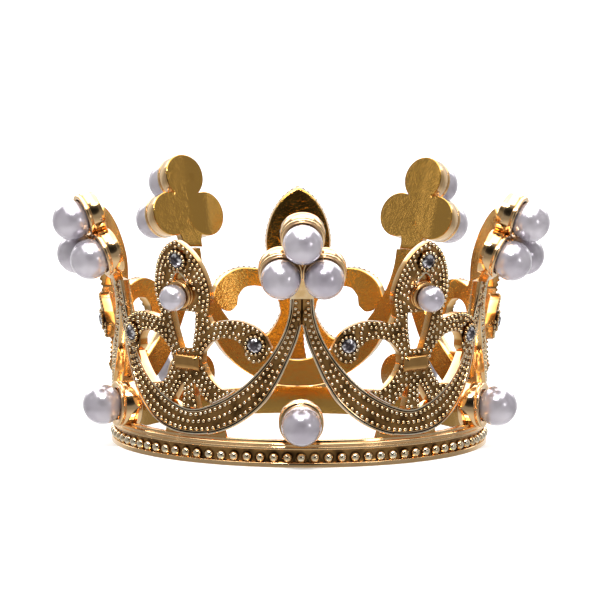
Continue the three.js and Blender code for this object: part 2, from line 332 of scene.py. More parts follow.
def relief_plate(loops, lines, thickness, spacing=0.32, recess=None):
    """A cast plate: points (u, z, h), faces, materials and relief. lines holds (line, profile) pairs.
    A profile gives the height at distances from its line. recess is a (loop, floor) hollow."""
    edges = [line for line, _ in lines]
    hollow = closed(recess[0]) if recess else None
    flat, faces = triangulated(plate_points(loops, lines, spacing, hollow), loops)

    height, nearest = np.zeros(len(flat)), np.full(len(flat), 1e9)
    for line, profile in lines:
        distance = line_distance(flat, [line])
        closer = distance < nearest
        height[closer] = np.interp(distance, *zip(*profile))[closer]
        nearest[closer] = distance[closer]
    if recess:
        loop, floor = recess
        depth = line_distance(flat, [hollow])
        sunk = inside(flat, [loop]) & (depth > NEAR)
        height[sunk] = np.interp(depth[sunk], [0, HOLLOW_WALL], [0, floor])
        height[~sunk & (depth < 1.5 * HOLLOW_WALL)] = 0

    # The back is bevelled where an outline has a rim, but stays square at a seam.
    from_outline = line_distance(flat, [closed(loop) for loop in loops])
    from_edge = np.maximum(from_outline, line_distance(flat, edges))
    back = -thickness + np.interp(from_edge, [0, BEVEL], [BEVEL, 0])

    count = len(flat)
    solid = np.vstack([np.column_stack([flat, height]), np.column_stack([flat, back])])
    materials = [FACE] * len(faces) + [BACK] * len(faces)
    directed = {(a, b) for face in faces for a, b in zip(face, face[1:] + face[:1])}
    walls = [(b, a, a + count, b + count) for a, b in sorted(directed) if (b, a) not in directed]
    faces += [[i + count for i in reversed(face)] for face in faces]
    faces += walls
    materials += [EDGE] * len(walls)
    relief_patina_and_painted_light = np.concatenate([height, np.zeros(count)])
    return solid, faces, materials, relief_patina_and_painted_light


def lathe(shells, profile, matrix, segments, material=EDGE, relief_patina_and_painted_light=1.0):
    """A turned solid. The profile (radius, height) closes on the axis or on itself."""
    profile = np.array(profile, float)
    hollow = profile[0, 0] > 1e-6 or profile[-1, 0] > 1e-6
    angles = np.linspace(0, 2 * math.pi, segments, endpoint=False)
    points, rings = [], []
    for radius, height in profile:
        start = len(points)
        if radius < 1e-6:
            points.append((0, 0, height))
            rings.append([start] * segments)
        else:
            points += [(radius * math.cos(a), radius * math.sin(a), height) for a in angles]
            rings.append(list(range(start, start + segments)))
    pairs = list(zip(rings, rings[1:]))
    if hollow:
        pairs.append((rings[-1], rings[0]))
    faces = []
    for low, high in pairs:
        for i in range(segments):
            j = (i + 1) % segments
            face = [low[i], low[j], high[j], high[i]]
            faces.append([v for k, v in enumerate(face) if v != face[k - 1]])
    shells.add(placed(np.array(points), matrix), faces, material, relief_patina_and_painted_light)


# A bead has a thin flange that fills the corner where it meets its field, and stands just proud of it.
# The level of the sunk fields: darker than the proud parts, as patina and painted shade.
FIELD_PATINA_AND_PAINTED_SHADE = 0.2
FLANGE = 1.3
FOOT = 0.012


def bead_shape(segments, rings):
    """Half a ball of radius 1 on its flange, with its levels of painted light: a painted highlight over the
    top of the ball and a painted shade, darkest where the ball meets the flange.
    """
    points, relief_patina_and_painted_light = [(0, 0, 1)], [1.0]
    profile = [(math.sin(t), math.cos(t)) for t in np.linspace(0, math.pi / 2, rings + 1)[1:]]
    profile += [(FLANGE, 0), (FLANGE, -0.3)]
    # Painted highlight near the top of the ball, painted shade at its foot, then the field's level on the
    # flange.
    painted_bead_light = list(np.linspace(1.0, 0.8, rings)[1:]) + [0.0, FIELD_PATINA_AND_PAINTED_SHADE, FIELD_PATINA_AND_PAINTED_SHADE]
    for (radius, height), shade in zip(profile, painted_bead_light):
        for i in range(segments):
            angle = 2 * math.pi * i / segments
            points.append((radius * math.cos(angle), radius * math.sin(angle), height))
            relief_patina_and_painted_light.append(shade)
    faces = [[0, 1 + i, 1 + (i + 1) % segments] for i in range(segments)]
    for ring in range(len(profile) - 1):
        low = 1 + ring * segments
        for i in range(segments):
            j = (i + 1) % segments
            faces.append([low + i, low + segments + i, low + segments + j, low + j])
    faces.append([1 + (len(profile) - 1) * segments + i for i in reversed(range(segments))])
    return np.array(points), faces, np.array(relief_patina_and_painted_light)


FINE_BEAD = bead_shape(16, 5)
SMALL_BEAD = bead_shape(10, 3)


def beads(shells, places, radius, floor, surface, shape=SMALL_BEAD):
    """Cast beads that stand on the floor of a field, at each (u, z)."""
    points, faces, relief_patina_and_painted_light = shape
    for u, z in places:
        matrix = frame_on(surface, u, z) @ Matrix.Translation((0, 0, floor + FOOT))
        shells.add(placed(points * radius, matrix), faces, FACE, relief_patina_and_painted_light)


def spread(places, gap):
    """The places in order, without those nearer than gap to one already kept."""
    kept = []
    for place in places:
        if not kept or np.hypot(*(np.array(kept) - place).T).min() > gap:
            kept.append(place)
    return np.array(kept)


# Materials
def new_material(name):
    material = bpy.data.materials.new(name)
    material.use_nodes = True
    nodes = material.node_tree.nodes
    shader = nodes["Principled BSDF"]
    return material, nodes, material.node_tree.links, shader


def node(nodes, kind, **settings):
    made = nodes.new(kind)
    for key, value in settings.items():
        if hasattr(made, key):
            setattr(made, key, value)
        else:
            made.inputs[key.replace("_", " ")].default_value = value
    return made


def noise(nodes, links, scale, detail, coordinates):
    made = node(nodes, "ShaderNodeTexNoise", Scale=scale, Detail=detail)
    links.new(coordinates.outputs["Object"], made.inputs["Vector"])
    return made


def ramp(nodes, stops):
    made = nodes.new("ShaderNodeValToRGB")
    elements = made.color_ramp.elements
    while len(elements) < len(stops):
        elements.new(0.5)
    for element, (place, colour) in zip(elements, stops):
        element.position = place
        element.color = (*colour, 1)
    return made


def tint_by_noise(nodes, links, coordinates, scale, detail, stops):
    """A base colour that drifts between two tints."""
    cloud = noise(nodes, links, scale, detail, coordinates)
    tint = ramp(nodes, stops)
    links.new(cloud.outputs["Fac"], tint.inputs["Fac"])
    links.new(tint.outputs["Color"], nodes["Principled BSDF"].inputs["Base Color"])


def bump_by_noise(nodes, links, coordinates, scale, detail, strength, distance):
    height = noise(nodes, links, scale, detail, coordinates)
    bump = node(nodes, "ShaderNodeBump", Strength=strength, Distance=distance)
    links.new(height.outputs["Fac"], bump.inputs["Height"])
    return bump


def gold(name, stops, roughness, grain_scale, grain, ripple=0.0, clouds=(-0.12, 0.12)):
    """Plated metal. Its colour follows a level on each point, broken up by a cloudy noise: low levels give
    patina and painted shade in the recesses, and high levels a painted highlight on the proud parts.
    """
    material, nodes, links, shader = new_material(name)
    shader.inputs["Metallic"].default_value = 1.0
    coordinates = nodes.new("ShaderNodeTexCoord")
    # Each point's level of patina and painted light.
    relief_patina_and_painted_light = node(nodes, "ShaderNodeAttribute", attribute_name="relief_patina_and_painted_light")
    cloud = noise(nodes, links, 420, 3, coordinates)
    spread_out = node(nodes, "ShaderNodeMapRange")
    spread_out.inputs["From Min"].default_value = 0.3
    spread_out.inputs["From Max"].default_value = 0.7
    spread_out.inputs["To Min"].default_value = clouds[0]
    spread_out.inputs["To Max"].default_value = clouds[1]
    links.new(cloud.outputs["Fac"], spread_out.inputs["Value"])
    total = node(nodes, "ShaderNodeMath", operation="ADD")
    links.new(relief_patina_and_painted_light.outputs["Fac"], total.inputs[0])
    links.new(spread_out.outputs["Result"], total.inputs[1])
    colours = ramp(nodes, stops)
    links.new(total.outputs["Value"], colours.inputs["Fac"])
    links.new(colours.outputs["Color"], shader.inputs["Base Color"])

    wear = noise(nodes, links, 900, 2, coordinates)
    rough = node(nodes, "ShaderNodeMapRange")
    rough.inputs["To Min"].default_value = roughness * 0.6
    rough.inputs["To Max"].default_value = roughness * 1.4
    links.new(wear.outputs["Fac"], rough.inputs["Value"])
    links.new(rough.outputs["Result"], shader.inputs["Roughness"])

    bump = bump_by_noise(nodes, links, coordinates, grain_scale, 2, grain, 0.00005)
    if ripple:
        hammer = bump_by_noise(nodes, links, coordinates, 1000, 2, ripple, 0.00012)
        links.new(hammer.outputs["Normal"], bump.inputs["Normal"])
    links.new(bump.outputs["Normal"], shader.inputs["Normal"])
    return material


def pearl_coating():
    material, nodes, links, shader = new_material("pearl_coating")
    coordinates = nodes.new("ShaderNodeTexCoord")
    stops = [(0.3, (0.44, 0.40, 0.45)), (0.7, (0.62, 0.58, 0.62))]
    tint_by_noise(nodes, links, coordinates, 260, 2, stops)
    shader.inputs["Metallic"].default_value = 0.62
    shader.inputs["Roughness"].default_value = 0.2
    shader.inputs["IOR"].default_value = 1.6
    shader.inputs["Coat Weight"].default_value = 0.7
    shader.inputs["Coat Roughness"].default_value = 0.12
    bump = bump_by_noise(nodes, links, coordinates, 1500, 1, 0.06, 0.00003)
    links.new(bump.outputs["Normal"], shader.inputs["Normal"])
    return material


def crystal():
    """Foil-backed glass. Its facets go from dark to bright as painted reflections, set by a level on each
    point of the stone and broken up by noise.
    """
    material, nodes, links, shader = new_material("crystal")
    coordinates = nodes.new("ShaderNodeTexCoord")
    painted_facet_reflection = node(nodes, "ShaderNodeAttribute", attribute_name="relief_patina_and_painted_light")
    cloud = noise(nodes, links, 1200, 2, coordinates)
    total = node(nodes, "ShaderNodeMath", operation="MULTIPLY_ADD")
    total.inputs[1].default_value = 0.8
    links.new(cloud.outputs["Fac"], total.inputs[0])
    links.new(painted_facet_reflection.outputs["Fac"], total.inputs[2])
    # The dark end is painted shade on the facets, and the white end is a painted glint.
    tint = ramp(nodes, [(0.4, (0.02, 0.015, 0.02)), (0.8, (0.30, 0.27, 0.30)), (1.0, (1.0, 0.98, 1.0))])
    links.new(total.outputs["Value"], tint.inputs["Fac"])
    links.new(tint.outputs["Color"], shader.inputs["Base Color"])
    shader.inputs["Metallic"].default_value = 0.75
    shader.inputs["Transmission Weight"].default_value = 0.6
    shader.inputs["Roughness"].default_value = 0.04
    shader.inputs["IOR"].default_value = 1.56
    return material


def foil():
    material, nodes, links, shader = new_material("foil")
    coordinates = nodes.new("ShaderNodeTexCoord")
    stops = [(0.3, (0.05, 0.045, 0.05)), (0.7, (0.6, 0.58, 0.6))]
    tint_by_noise(nodes, links, coordinates, 700, 2, stops)
    shader.inputs["Metallic"].default_value = 1.0
    shader.inputs["Roughness"].default_value = 0.08
    return material


# Antiqued gold for the faces. Its ramp goes from near black, which is painted shade with patina in grooves
# and at the beads' feet, to cream, which is a painted highlight on bead tops and rims.
ANTIQUE_WITH_PAINTED_LIGHT = gold(
    "gold_antique_with_painted_light",
    [
        (0.0, (0.03, 0.012, 0.004)), (0.25, (0.50, 0.265, 0.085)), (0.7, (0.84, 0.56, 0.26)),
        (1.0, (1.0, 0.88, 0.66)),
    ],
    0.12, 2600, 0.2, clouds=(-0.16, 0.16),
)
POLISHED = gold(
    "gold_polished",
    [(0.0, (0.44, 0.21, 0.06)), (0.5, (0.78, 0.45, 0.16)), (1.0, (1.0, 0.68, 0.36))],
    0.11, 2200, 0.12,
)
AMBER = gold(
    "gold_amber",
    [(0.0, (0.38, 0.165, 0.02)), (0.5, (0.56, 0.28, 0.045)), (1.0, (0.76, 0.42, 0.10))],
    0.14, 3600, 0.6, ripple=0.32, clouds=(0.1, 0.9),
)
GOLDS = [ANTIQUE_WITH_PAINTED_LIGHT, POLISHED, AMBER]
PEARL = pearl_coating()
CRYSTAL = crystal()
FOIL = foil()


# Band
BAND = {"inner": -1.7, "channel": 0.55, "channel_low": 0.7, "channel_high": 2.6, "step": 1.2}
BAND_BEADS = {"count": 17, "radius": 0.72, "z": 1.45}
BAND_SECTION = [
    (-1.7, 0.0), (0.0, 0.0), (0.0, 0.65), (-0.12, 0.72), (-0.55, 0.8), (-0.55, 2.55), (-0.12, 2.64),
    (0.0, 2.7), (0.0, 3.02), (-0.14, 3.1), (-0.14, 3.2), (0.0, 3.28), (0.0, 3.5), (-0.15, 3.65),
    (-0.7, 3.65), (-0.7, 4.0), (-1.7, 4.0),
]


def band_radius(z):
    return RING_RADIUS


def band_body(shells, left_end, right_end):
    """The swept ring, whose section is (h, z), with its channel for the beads."""
    section = softened(BAND_SECTION, 0.06)
    steps = round(math.degrees((left_end + right_end) / RING_RADIUS) / BAND["step"])
    h, z = section.T
    inner = h < BAND["inner"] + 0.01
    channel = (h < -0.2) & (z > BAND["channel_low"]) & (z < BAND["channel_high"])
    # The channel is darkened with patina and painted shade, and the rims take the top level.
    relief_patina_and_painted_light = np.where(channel, FIELD_PATINA_AND_PAINTED_SHADE, 1.0)
    points, heights = [], []
    for u in np.linspace(-left_end, right_end, steps + 1):
        points.append(wrapped(np.column_stack([np.full(len(section), u), z, h]), band_radius))
        heights.append(relief_patina_and_painted_light)
    count = len(section)
    faces, materials = [], []
    for step in range(steps):
        for i in range(count):
            j = (i + 1) % count
            low, high = step * count, (step + 1) * count
            faces.append([low + i, high + i, high + j, low + j])
            if inner[i] and inner[j]:
                materials.append(BACK)
            else:
                materials.append(FACE if channel[i] or channel[j] else EDGE)
    faces.append(list(range(count)))
    faces.append([steps * count + i for i in reversed(range(count))])
    materials += [EDGE, EDGE]
    shells.add(np.vstack(points), faces, materials, np.concatenate(heights))


SADDLE = {"reach": math.radians(12) * RING_RADIUS, "bottom": 3.8, "radius": 27.1, "thickness": 0.7}


def saddle_wall(shells, lower, end, side):
    """The low wall that joins the band to the bottom of an arch."""
    start = BOTTOM_U - SADDLE["reach"]
    roof = trimmed(lower, end)
    roof = roof[roof[:, 0] > start] - [0, SEAM_GAP]
    floor = np.array([[start, SADDLE["bottom"]], [end, SADDLE["bottom"]]])
    wall = joined(floor, roof[::-1])
    if side < 0:
        wall = mirrored(wall)
    plate = relief_plate([wall], [(closed(wall), [(0, -0.06), (BEVEL, 0)])], SADDLE["thickness"])
    shells.add(wrapped(plate[0], lambda z: SADDLE["radius"]), plate[1], EDGE, 0.6)


def cup_profile(pearl, lip, radius, back, seat_gap=0.15):
    """A pearl cup on its axis, with the pearl's centre at height 0: wall, groove, lip, seat and peg."""
    groove = lip - 0.62
    seat = math.sqrt(pearl["radius"] ** 2 - lip**2) + 0.2
    bottom = -pearl["radius"] - seat_gap
    return [
        (0, back), (radius - 0.1, back), (radius, back + 0.1), (radius, groove - 0.1),
        (radius - 0.05, groove - 0.04), (radius - 0.2, groove), (radius - 0.2, groove + 0.1),
        (radius - 0.06, groove + 0.16),
        (radius - 0.02, groove + 0.24), (radius - 0.02, lip - 0.12), (radius - 0.08, lip - 0.03),
        (radius - 0.18, lip), (seat + 0.08, lip), (seat, lip - 0.06), (seat - 0.12, bottom),
        (pearl["peg"], bottom), (pearl["peg"], -pearl["radius"] + 1.25), (0, -pearl["radius"] + 1.25),
    ]


def base_frame():
    return frame_on(lambda z: BASE_PEARL["radius"], 0.0, BASE_PEARL["z"])


def band_segment(left_end, right_end, angle):
    """The segment of the panel at this angle. Its beads keep to the pitch of the whole ring."""
    shells = Shells()
    band_body(shells, left_end, right_end)
    lower = arch_edges()[0]
    saddle_wall(shells, lower, left_end - SEAM_GAP, -1)
    saddle_wall(shells, lower, right_end - SEAM_GAP, 1)
    lip = -BASE_PEARL["stand"]
    cup = cup_profile(LARGE_PEARL, lip, BASE_PEARL["cup"], lip - BASE_PEARL["back"])
    lathe(shells, cup, base_frame(), 48)
    pitch = PANEL_ANGLE / BAND_BEADS["count"]
    first = math.degrees(-left_end / RING_RADIUS) + angle
    last = math.degrees(right_end / RING_RADIUS) + angle
    turns = np.arange(math.ceil(first / pitch), math.floor(last / pitch) + 1) * pitch
    places = [(math.radians(turn - angle) * RING_RADIUS, BAND_BEADS["z"]) for turn in turns]
    beads(shells, places, BAND_BEADS["radius"], -BAND["channel"], band_radius, FINE_BEAD)
    return shells


# Arches
LOWER = [
    (0, 21.5), (0.7, 18.9), (1.9, 16), (3.6, 12.5), (5.9, 9.2), (9.6, 6.2), (13.6, 4.55),
    (BOTTOM_U, 4.15), (2 * BOTTOM_U - 13.6, 4.55),
]
UPPER = [
    (1.75, 25.5), (1.95, 23), (2.8, 20.1), (4.3, 17.3), (6.2, 14.7), (8.6, 12.2), (11.6, 10.1),
    (14.9, 8.6), (BOTTOM_U, 8.05), (2 * BOTTOM_U - 14.9, 8.6), (2 * BOTTOM_U - 11.6, 10.1),
]
ARCH_TOP = UPPER[0][1]
FIELD = -0.26
ARCH_RIM = [
    (0, -0.13), (0.05, -0.03), (BEVEL, 0), (0.25, -0.02), (0.31, -0.30), (0.4, -0.30), (0.45, -0.08),
    (0.54, -0.10), (0.6, FIELD),
]
ARCH_CENTRE = [(0, -0.46), (0.06, -0.42), (0.14, FIELD)]
RIM_WIDTH = ARCH_RIM[-1][0]
CENTRE_MARGIN = 0.24
ARCH_BEADS = {"radius": 0.32, "pitch": 0.93, "margin": 0.3, "gap": 0.62}
BEAD_ROWS = [(1, 0, 0.8), (2, 0.8, 1.95), (3, 1.95, 9)]
MIRROR_REACH = 26.0


def arch_edges():
    return smooth(LOWER), smooth(UPPER)


def arch_bead_places(left_end, right_end):
    """Bead places on both legs, in as many staggered rows as BEAD_ROWS has for the field's width."""
    lower, upper = arch_edges()
    lower = np.vstack([[(0, ARCH_TOP)], trimmed(lower, BOTTOM_U)])
    upper = trimmed(upper, BOTTOM_U)
    count = 400
    inner = resampled(lower, 0.01)
    outer = resampled(upper, 0.01)
    share = np.linspace(0, 1, count)
    inner = inner[(share * (len(inner) - 1)).astype(int)]
    outer = outer[(share * (len(outer) - 1)).astype(int)]
    middle = (inner + outer) / 2
    along = np.concatenate([[0], np.cumsum(np.hypot(*np.diff(middle, axis=0).T))])
    across = outer - inner
    width = np.hypot(*across.T)
    across /= width[:, None]
    inner_margin = np.where(inner[:, 1] > LOWER[0][1], CENTRE_MARGIN, RIM_WIDTH)
    field = width - inner_margin - RIM_WIDTH
    pitch, margin = ARCH_BEADS["pitch"], ARCH_BEADS["margin"]
    leg = []
    for rows, low, high in BEAD_ROWS:
        for row in range(rows):
            for s in np.arange(along[-1] - (row % 2) * pitch / 2, 0.4, -pitch):
                i = int(np.interp(s, along, np.arange(count)))
                if low <= field[i] < high:
                    lateral = field[i] / 2
                    if rows > 1:
                        lateral = margin + (field[i] - 2 * margin) * row / (rows - 1)
                    leg.append(inner[i] + across[i] * (inner_margin[i] + lateral))
    leg = np.array(leg)[::-1]
    beyond = (leg * [-1, 1] + [2 * BOTTOM_U, 0])[leg[:, 0] > 2 * BOTTOM_U - MIRROR_REACH]
    whole = spread(np.vstack([leg, beyond]), ARCH_BEADS["gap"])
    right = whole[whole[:, 0] < right_end]
    left = whole[whole[:, 0] < left_end] * [-1, 1]
    return np.vstack([right, left])


def arch_panel(left_end, right_end):
    lower, upper = arch_edges()
    step = 0.3
    low_right = resampled(trimmed(lower, right_end), step)
    low_left = mirrored(resampled(trimmed(lower, left_end), step))
    high_right = resampled(trimmed(upper, right_end), step)
    high_left = mirrored(resampled(trimmed(upper, left_end), step))
    right_cut = resampled(np.vstack([low_right[-1:], high_right[-1:]]), 0.1)
    left_cut = resampled(np.vstack([high_left[:1], low_left[:1]]), 0.1)
    top = resampled(np.vstack([high_right[:1], high_left[-1:]]), 0.1)
    outline = joined(
        low_left[:-1], low_right, right_cut, high_right[::-1], top, high_left[::-1], left_cut,
    )
    centre = resampled(np.array([LOWER[0], (0, ARCH_TOP)]), step)
    lines = [(line, ARCH_RIM) for line in (low_right, low_left, high_right, high_left)]
    plate = relief_plate([outline], [*lines, (centre, ARCH_CENTRE)], PLATE)
    shells = Shells()
    # The grooves go darkest and the field dark, as patina and painted shade, and the proud rims take the
    # painted highlight level.
    relief_patina_and_painted_light = np.interp(plate[3], [-0.48, -0.3, FIELD, -0.1, 0], [0, 0.05, FIELD_PATINA_AND_PAINTED_SHADE, 0.8, 1])
    shells.add(wrapped(plate[0], arch_surface), plate[1], plate[2], relief_patina_and_painted_light)
    beads(shells, arch_bead_places(left_end, right_end), ARCH_BEADS["radius"], FIELD, arch_surface)
    return shells


# Trefoil finials
def finial_frame():
    turn = Matrix.Rotation(math.pi / 2 + FINIAL_TILT, 4, "X")
    return Matrix.Translation((0, -FINIAL_LOW[0], FINIAL_LOW[1])) @ turn


FINIAL_PEARLS = {
    "top": (0, FINIAL_RISE, 0),
    "left": (-FINIAL_SIDE, 0, 0),
    "right": (FINIAL_SIDE, 0, 0),
}
FINIAL_DISC = {"radius": 3.36, "thickness": 0.6}
FINIAL_CUP = {"radius": 3.33, "lip": -1.65}
BACK_WAVE = {"depth": 0.11, "turn": 0.95, "reach": 6.6}
THIN_RIM = [(0, -0.08), (BEVEL, 0)]


def disc_outline(radius):
    """The outline of the three discs of the back plate, anticlockwise from the cusp under them."""
    side = np.array([FINIAL_SIDE, 0])
    top = np.array([0, FINIAL_RISE])
    gap = math.dist(side, top)
    direction = (top - side) / gap
    opening = math.degrees(math.acos(gap / 2 / radius))
    towards_top = math.degrees(math.atan2(direction[1], direction[0]))
    under = -math.degrees(math.acos(-FINIAL_SIDE / radius))
    right = arc(side, radius, under, towards_top - opening, 40)
    half_top = arc(top, radius, towards_top - 180 + opening, 90, 34)
    half = np.vstack([right, half_top])
    return joined(half, mirrored(half))


def back_plate(shells, matrix):
    """The three discs in one plate. One side of the back is bent a little, as on a worn casting."""
    outline = disc_outline(FINIAL_DISC["radius"])
    plate = relief_plate([outline], [(closed(outline), THIN_RIM)], FINIAL_DISC["thickness"])
    discs = plate[0] + [0, 0, FINIAL_BACK + FINIAL_DISC["thickness"]]
    back = discs[len(discs) // 2:]
    across = np.clip(-back[:, 0], 0, BACK_WAVE["reach"])
    back[:, 2] -= BACK_WAVE["depth"] * (1 - np.cos(across * BACK_WAVE["turn"]))
    shells.add(placed(discs, matrix), plate[1], plate[2], 0.8)


def neck(shells):
    """The flat neck between the arch's peak and the discs."""
    bottom, top, half_width = NECK["bottom"], NECK["top"], NECK["half_width"]
    half = smooth([
        (half_width, bottom), (half_width + 0.1, bottom + 1.2), (half_width + 0.9, top - 1.2),
        (half_width + 1.6, top),
    ])
    outline = joined(resampled(half, 0.3), resampled(mirrored(half), 0.3))
    plate = relief_plate([outline], [(closed(outline), THIN_RIM)], PLATE - 0.03)
    u, z, h = plate[0].T
    shells.add(np.column_stack([u, -neck_surface(z) - h, z]), plate[1], plate[2], 0.8)


def trefoil_finial():
    shells = Shells()
    matrix = finial_frame()
    back_plate(shells, matrix)
    for place in FINIAL_PEARLS.values():
        profile = cup_profile(LARGE_PEARL, FINIAL_CUP["lip"], FINIAL_CUP["radius"], FINIAL_BACK + 0.3)
        lathe(shells, profile, matrix @ Matrix.Translation(place), 48)
    web = [(0, FINIAL_BACK + 0.4), (1.9, FINIAL_BACK + 0.4), (1.9, -2.2), (1.75, -2.05), (0, -2.05)]
    lathe(shells, web, matrix @ Matrix.Translation((0, FINIAL_RISE / 3, 0)), 24, relief_patina_and_painted_light=0.4)
    neck(shells)
    return shells


def finial_stand(number):
    """Where a finial stands in its panel, turned about the foot of its neck."""
    if number != CROOKED["number"]:
        return Matrix.Identity(4)
    foot = Vector((0, -arch_surface(NECK["bottom"]), NECK["bottom"]))
    turn = Matrix.Rotation(-math.radians(CROOKED["lean"]), 4, "Y")
    slide = Matrix.Translation((CROOKED["slide"], 0, CROOKED["rise"]))
    return slide @ Matrix.Translation(foot) @ turn @ Matrix.Translation(-foot)


# Fleurs-de-lis
FLEUR_TIP = 33.75
FLEUR_FIELD = -0.15
FLEUR_RIM = [(0, -0.22), (BEVEL, FLEUR_FIELD)]
FLEUR_HOLE = [(1, 17.1), (1.45, 18.8), (1.85, 20.8), (2.1, 22.9)]
RECESS_SIDE = [(0, 26.6), (1.0, 26.8), (1.05, 27.6), (0.6, 28.35), (0, 28.9)]
RECESS_DEPTH = -0.75
COLLAR_RIM = [(0, -0.6), (0.04, -0.5), (0.48, -0.04), (0.55, 0)]
COLLAR_THICKNESS = 1.9
FLEUR_BEADS = {"radius": 0.29, "edge": 0.31, "row": 0.62, "depth": 3.5, "gap": 0.7}
BEAD_CLEARANCE = 0.2
STONE_CLEARANCE = 1.85
SETTING_BEADS = {"count": 13, "ring": 1.38, "height": 0.16, "radius": 0.27}


def fleur_half():
    """The right half of a fleur-de-lis, from the middle foot round to the petal's tip."""
    lines = [
        [(1.4, 8.2), (1.05, 10), (0.9, 12.1)],
        [(3.3, 8.95), (5.4, 9.95), (7.4, 11.25)],
        [(6.9, 11.3), (5.5, 11.4), (4.2, 12.4), (3.2, 13.8), (2.6, 15.2)],
        [(2.9, 16.9), (4.4, 18.5), (6.2, 19.2), (8.1, 19), (9.2, 17.8)],
        [(9.4, 16.5), (10.6, 15.6), (12.1, 16.1), (13.35, 17.95)],
        [(13, 18.7), (12.2, 20.1), (10.8, 21.2), (8.6, 21.95), (6.2, 21.8), (4.4, 21.4)],
        [(4, 22.4), (4.5, 24.3), (4.6, 26), (4.25, 28), (3.5, 30.1), (2.3, 32), (1.1, 33.15)],
    ]
    return np.vstack([*[smooth(line) for line in lines], [(0, FLEUR_TIP)]])


def fleur_bead_places(outline, hole, recess):
    """Rows of beads along the outlines and a filling between them, clear of what stands on the face."""
    edges = [closed(loop) for loop in (outline, hole, recess)]
    places = []
    for distance in np.arange(FLEUR_BEADS["edge"], FLEUR_BEADS["depth"], FLEUR_BEADS["row"]):
        for edge in edges:
            beside = offset_points(resampled(edge, 0.2), distance)
            places.append(beside[line_distance(beside, edges) > distance - 2 * NEAR])
    filling = grid_over(outline, 0.3)
    places.append(filling[line_distance(filling, edges) > FLEUR_BEADS["edge"]])
    places = np.vstack(places)
    places = places[inside(places, [outline, hole]) & ~inside(places, [recess])]
    u, z = places.T
    beside_collar = abs(u) > COLLAR["half_width"] + BEAD_CLEARANCE
    below_collar = z < COLLAR["bottom"] - BEAD_CLEARANCE
    above_collar = z > COLLAR["top"] + BEAD_CLEARANCE
    beside_cup = np.hypot(u, z - FLEUR_PEARL["z"]) > FLEUR_PEARL["cup"] + 0.3
    places = places[(beside_collar | below_collar | above_collar) & beside_cup]
    for stone in STONES.values():
        places = places[np.hypot(*(places - stone).T) > STONE_CLEARANCE]
    return spread(places, FLEUR_BEADS["gap"])


def collar(shells):
    """The bar across the waist of the fleur-de-lis."""
    half, bottom, top = COLLAR["half_width"], COLLAR["bottom"], COLLAR["top"]
    corners = np.array([(-half, bottom), (half, bottom), (half, top), (-half, top), (-half, bottom)])
    ring = resampled(corners, 0.2)
    plate = relief_plate([ring[:-1]], [(ring, COLLAR_RIM)], COLLAR_THICKNESS)
    shells.add(wrapped(plate[0], lambda z: fleur_surface(z) + COLLAR["proud"]), plate[1], EDGE, 0.3)


def setting(shells, matrix):
    """A low collar round a stone, with a ring of fine beads on it."""
    profile = [
        (0, -1.1), (1.5, -1.1), (1.52, 0.05), (1.45, 0.16), (1.3, 0.3), (1.2, 0.32), (1.16, 0.24),
        (1.16, 0.0), (1.0, -0.3), (0, -0.6),
    ]
    # The collar takes the darkest level: a painted shadow round the stone.
    lathe(shells, profile, matrix, 32, FACE, 0.0)
    points, faces, relief_patina_and_painted_light = SMALL_BEAD
    ring = SETTING_BEADS["ring"]
    for i in range(SETTING_BEADS["count"]):
        angle = 2 * math.pi * i / SETTING_BEADS["count"]
        place = (ring * math.cos(angle), ring * math.sin(angle), SETTING_BEADS["height"])
        spot = matrix @ Matrix.Translation(place)
        shells.add(placed(points * SETTING_BEADS["radius"], spot), faces, FACE, relief_patina_and_painted_light)


def fleur_de_lis():
    outline = symmetric_loop(fleur_half())
    hole = symmetric_loop(smooth(FLEUR_HOLE))
    recess = symmetric_loop(smooth(RECESS_SIDE))
    lines = [(closed(loop), FLEUR_RIM) for loop in (outline, hole)]
    plate = relief_plate([outline, hole], lines, FLEUR_PLATE, 0.3, (recess, RECESS_DEPTH))
    shells = Shells()
    # The recess floor, the grooves and the field go dark, as patina and painted shade, and the proud rims
    # take the painted highlight level.
    levels = [RECESS_DEPTH, -0.3, FLEUR_FIELD, -0.05, 0]
    relief_patina_and_painted_light = np.interp(plate[3], levels, [0.55, 0.1, FIELD_PATINA_AND_PAINTED_SHADE, 0.8, 1])
    shells.add(wrapped(plate[0], fleur_surface), plate[1], plate[2], relief_patina_and_painted_light)
    places = fleur_bead_places(outline, hole, recess)
    beads(shells, places, FLEUR_BEADS["radius"], FLEUR_FIELD, fleur_surface)
    collar(shells)
    for u, z in STONES.values():
        setting(shells, frame_on(fleur_surface, u, z))
    stand = FLEUR_PEARL["stand"]
    cup = cup_profile(SMALL_PEARL, 0.6 - stand, FLEUR_PEARL["cup"], -1.2 - stand)
    lathe(shells, cup, fleur_pearl_frame(), 40, EDGE, 0.6)
    return shells


def fleur_pearl_frame():
    raised = Matrix.Translation((0, 0, FLEUR_PEARL["stand"]))
    return frame_on(fleur_surface, 0.0, FLEUR_PEARL["z"]) @ raised


# Pearls and stones
def pearl(size):
    """A ball with the blind hole that its peg fills."""
    radius, hole = size["radius"], size["hole"]
    rim = math.asin(hole / radius)
    rows = 28
    profile = [(0, -radius + 1.6), (hole, -radius + 1.6)]
    for row in range(rows):
        angle = rim + row / rows * (math.pi - rim)
        profile.append((radius * math.sin(angle), -radius * math.cos(angle)))
    profile.append((0, radius))
    shells = Shells()
    lathe(shells, profile, Matrix.Identity(4), 56, 0)
    return shells


